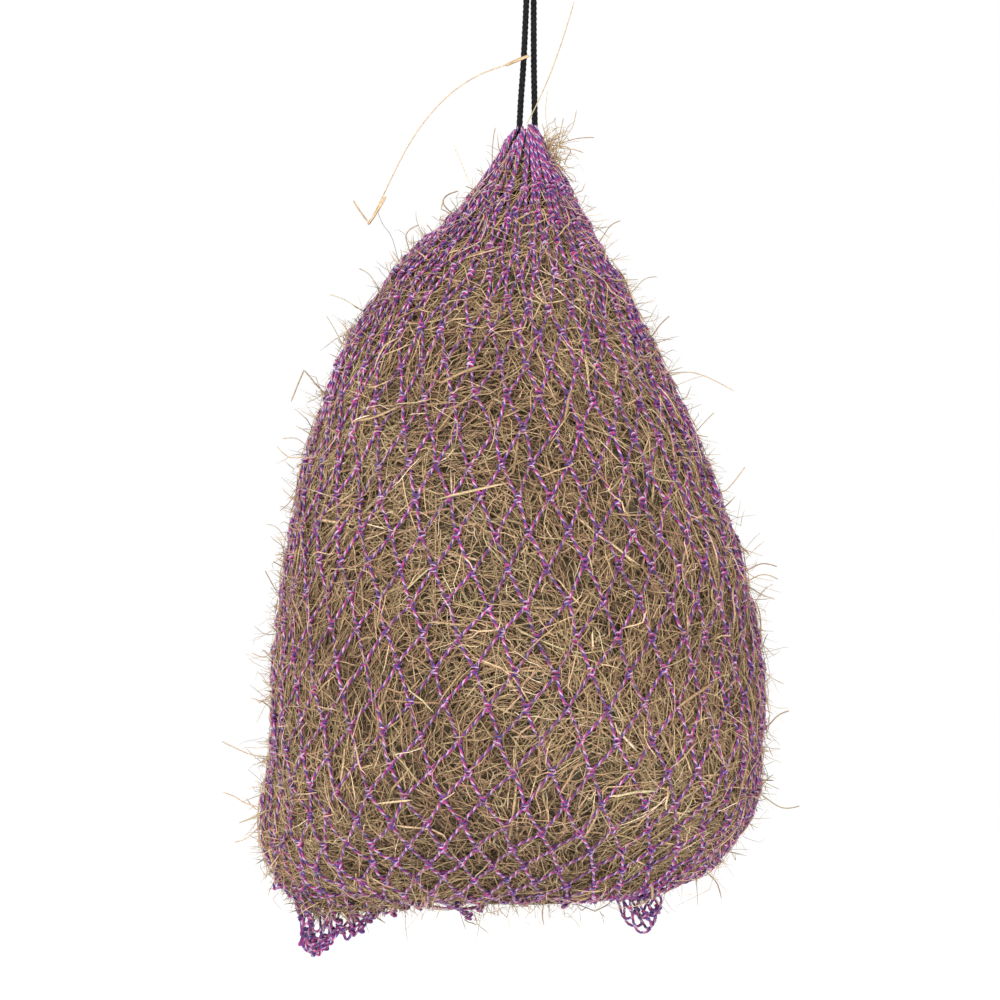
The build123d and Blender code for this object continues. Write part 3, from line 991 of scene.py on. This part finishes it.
# ---- Loose hay ----
def loose_stalks(name, nodes, routes, widths, tones, body="net"):
    """A few single stalks, each along its own smooth route."""
    lines = [smooth_line(route) for route in routes]
    paths = np.array([places_at(line, np.linspace(0, run_of(line)[-1], 24)) for line in lines])
    normal = np.tile([0.0, -1.0, 0.0], (len(paths), 1))
    obj = hay_mesh(
        name, paths, normal, np.array(widths), np.full(len(paths), 0.8), np.array(tones),
        np.full(len(paths), 0.9),
    )
    if nodes:
        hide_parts(*nodes)
    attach(obj, body)
    return obj


STALK_ROUTE = [
    (0.002, -0.011, -0.160), (-0.003, -0.010, -0.162), (-0.024, -0.010, -0.170), (-0.049, -0.009, -0.179),
    (-0.076, -0.007, -0.197), (-0.098, -0.006, -0.221), (-0.116, -0.006, -0.248), (-0.130, -0.008, -0.277),
    (-0.142, -0.012, -0.306), (-0.154, -0.016, -0.332),
]
SHEATH_ROUTE = [(0.001, -0.0105, -0.160), (-0.010, -0.0102, -0.164), (-0.023, -0.010, -0.1695)]
FORK_ROUTE = [(-0.154, -0.016, -0.332), (-0.162, -0.015, -0.322), (-0.170, -0.013, -0.309)]
BLADE_ROUTE = [(-0.155, -0.0165, -0.333), (-0.148, -0.014, -0.322), (-0.138, -0.011, -0.304)]
FIBRE_ROUTE = [
    (-0.146, -0.0135, -0.3185), (-0.142, -0.012, -0.331), (-0.133, -0.010, -0.340), (-0.128, -0.008, -0.352),
    (-0.124, -0.008, -0.368),
]
THIN_ROUTE = [(0.0, -0.008, -0.228), (0.014, -0.011, -0.200), (0.032, -0.010, -0.150), (0.044, -0.008, -0.104)]
loose_stalks(
    "long_stalk", ["draped_stalk"],
    [STALK_ROUTE, SHEATH_ROUTE, FORK_ROUTE, BLADE_ROUTE, FIBRE_ROUTE, THIN_ROUTE],
    [0.0007, 0.0019, 0.0010, 0.0016, 0.0003, 0.0006], [0.8, 0.72, 0.70, 0.78, 0.12, 0.9], body="strands",
)


def stray_routes(side, places):
    """Bent routes out from the bag's side at heights z, with reach and rise."""
    routes = []
    for z, reach, rise in places:
        middle, half_width, _ = section(np.array([z]))
        x = float(middle[0] + side * (half_width[0] - 0.006))
        y = float(random.uniform(-0.02, 0.02))
        bend = float(random.normal(0, 0.006))
        routes.append(
            [
                (x, y, z), (x + side * reach * 0.4, y - 0.004, z + rise * 0.3 + bend),
                (x + side * reach * 0.8, y, z + rise * 0.8 + bend),
                (x + side * (reach + 0.006), y + 0.003, z + rise),
            ]
        )
    return routes


STRAY_LEFT = [
    (-0.420, 0.034, 0.018), (-0.495, 0.022, -0.016), (-0.560, 0.026, 0.012), (-0.660, 0.022, 0.026),
    (-0.745, 0.026, -0.018), (-0.866, 0.046, 0.014), (-0.930, 0.026, -0.022), (-0.455, 0.018, 0.03),
    (-0.90, 0.02, -0.01), (-0.70, 0.018, 0.02), (-0.60, 0.016, -0.02), (-0.40, 0.02, 0.025),
]
STRAY_RIGHT = [
    (-0.400, 0.026, 0.024), (-0.486, 0.034, 0.014), (-0.585, 0.030, 0.022), (-0.672, 0.032, 0.010),
    (-0.760, 0.026, -0.020), (-0.830, 0.024, 0.024), (-0.884, 0.040, -0.016), (-0.35, 0.02, 0.03),
    (-0.44, 0.018, 0.026), (-0.53, 0.02, 0.02), (-0.63, 0.018, -0.02), (-0.71, 0.02, 0.03),
]
BENT_LEFT = [
    [(-0.190, -0.010, -0.506), (-0.199, -0.012, -0.497), (-0.2146, -0.014, -0.479), (-0.2146, -0.014, -0.4795),
     (-0.221, -0.012, -0.495), (-0.2265, -0.012, -0.511)],
    [(-0.040, -0.020, -0.318), (-0.055, -0.018, -0.290), (-0.066, -0.016, -0.264), (-0.072, -0.016, -0.252)],
    [(-0.030, -0.014, -0.290), (-0.036, -0.012, -0.262), (-0.031, -0.010, -0.232)],
    [(-0.050, -0.010, -0.330), (-0.080, -0.010, -0.316), (-0.082, -0.008, -0.300), (-0.066, -0.008, -0.296)],
    [(-0.100, -0.010, -0.385), (-0.116, -0.008, -0.352), (-0.118, -0.008, -0.336), (-0.104, -0.010, -0.331)],
    [(-0.245, -0.020, -0.915), (-0.262, -0.016, -0.912), (-0.272, -0.010, -0.905), (-0.284, -0.010, -0.902)],
]
BENT_RIGHT = [
    [(0.140, -0.012, -0.474), (0.158, -0.012, -0.470), (0.183, -0.010, -0.471), (0.214, -0.008, -0.488)],
    [(0.165, -0.010, -0.575), (0.176, -0.012, -0.555), (0.186, -0.012, -0.540), (0.184, -0.010, -0.556),
     (0.192, -0.010, -0.566)],
    [(0.086, -0.010, -0.376), (0.098, -0.010, -0.385), (0.115, -0.008, -0.402), (0.117, -0.008, -0.428)],
    [(0.215, -0.030, -0.690), (0.236, -0.030, -0.672), (0.252, -0.026, -0.668), (0.262, -0.024, -0.674)],
]
for name, side, places, bent in (("left", -1, STRAY_LEFT, BENT_LEFT), ("right", 1, STRAY_RIGHT, BENT_RIGHT)):
    count = len(places) + len(bent)
    loose_stalks(
        f"strays_{name}", [f"stray_stalks_{name}"], stray_routes(side, places) + bent,
        random.uniform(0.0004, 0.0008, count), random.uniform(0.3, 1.0, count),
    )


def face_strays(side):
    """Stalks that stand out of the front or the back."""
    routes = []
    for x, z, reach, rise in (
        (-0.024, -0.508, 0.018, 0.009), (0.030, -0.640, 0.020, -0.010), (-0.046, -0.760, 0.024, 0.012),
        (0.016, -0.830, 0.026, -0.006), (0.062, -0.885, 0.022, 0.010),
    ):
        _, _, half_depth = section(np.array([z]))
        x, y = side * x, side * (float(half_depth[0]) - 0.006)
        routes.append(
            [
                (x, y, z), (x + 0.004, y + side * reach * 0.6, z + rise * 0.3),
                (x + 0.012, y + side * reach, z + rise),
            ]
        )
    return routes


for name, side in (("front", -1), ("back", 1)):
    loose_stalks(
        f"strays_{name}", [f"stray_stalks_{name}"], face_strays(side),
        random.uniform(0.0004, 0.0008, 5), random.uniform(0.3, 1.0, 5),
    )


def tuft_routes(count):
    """Fine crooked stalks that burst out beside the mouth, with a few long ones."""
    routes = []
    root = np.array([0.021, -0.006, -0.258])
    for number in range(count):
        start = root + random.normal(0, 1, 3) * np.array([0.005, 0.006, 0.011])
        way = unit(np.array([0.8, 0.0, 0.5]) + random.normal(0, 1, 3) * np.array([0.55, 0.55, 0.8]))
        reach = abs(random.normal(0.017, 0.008)) + 0.006
        if number % 10 == 0:
            way = unit(np.array([0.6, 0.0, 1.0]) + random.normal(0, 0.25, 3))
            reach += 0.030
        route = [start]
        for _ in range(4):
            way = unit(way + random.normal(0, 0.42, 3))
            route.append(route[-1] + way * reach / 4)
        routes.append([tuple(place) for place in route])
    return routes


TUFT_COUNT = 120
loose_stalks(
    "mouth_tuft", ["hay_mouth_tuft"], tuft_routes(TUFT_COUNT), random.uniform(0.00018, 0.0006, TUFT_COUNT),
    random.uniform(0.3, 1.0, TUFT_COUNT),
)


def wisps(count=64):
    """Fine wisps that hang from the base."""
    routes = []
    for _ in range(count):
        x = random.uniform(-0.225, 0.175)
        top = np.array([x, random.uniform(-0.06, 0.06), 0.0])
        top[2] = under_height(top[None, 0], top[None, 1])[0] + 0.004
        reach = random.uniform(0.010, 0.030)
        sway = random.normal(0, 0.007, 3)
        routes.append(
            [
                tuple(top), tuple(top + np.array([sway[0], sway[1], -reach * 0.5])),
                tuple(top + np.array([sway[0] + sway[2] * 1.6, sway[1], -reach])),
            ]
        )
    return routes


loose_stalks("base_wisps", [], wisps(), random.uniform(0.00018, 0.0004, 64), random.uniform(0.1, 0.9, 64))

# ---- Stage and light ----
floor_material, _, floor_shader, _ = nodes_of("pale_floor", 0.9)
floor_shader.inputs["Base Color"].default_value = (1.0, 1.0, 1.0, 1)
floor_mesh = bpy.data.meshes.new("floor")
FLOOR_SIDES, FLOOR_R, FLOOR_Z = 64, 14, -1.60
turns = np.linspace(0, 2 * math.pi, FLOOR_SIDES, endpoint=False)
floor_mesh.from_pydata(
    [(FLOOR_R * math.cos(a), FLOOR_R * math.sin(a), FLOOR_Z) for a in turns], [], [list(range(FLOOR_SIDES))]
)
floor = bpy.data.objects.new("floor", floor_mesh)
bpy.context.scene.collection.objects.link(floor)
floor.data.materials.append(floor_material)

world = bpy.data.worlds.new("studio")
bpy.context.scene.world = world
world.use_nodes = True
world.node_tree.nodes["Background"].inputs["Color"].default_value = (1, 1, 1, 1)
world.node_tree.nodes["Background"].inputs["Strength"].default_value = 1.0


def area_light(name, place, aim, size, power):
    light = bpy.data.lights.new(name, "AREA")
    light.size, light.energy = size, power
    holder = bpy.data.objects.new(name, light)
    holder.location = place
    holder.rotation_euler = (Vector(aim) - Vector(place)).to_track_quat("-Z", "Y").to_euler()
    bpy.context.scene.collection.objects.link(holder)


area_light("key", (-1.6, -2.4, 1.0), (0, 0, -0.6), 1.2, 60)
area_light("fill", (2.0, -1.8, -0.2), (0, 0, -0.7), 1.6, 22)
area_light("back", (0.5, 2.6, 0.8), (0, 0, -0.6), 1.6, 30)
area_light("low", (0.1, -1.6, -1.5), (0, 0, -0.93), 0.9, 7)
bpy.context.scene.view_settings.view_transform = "Standard"
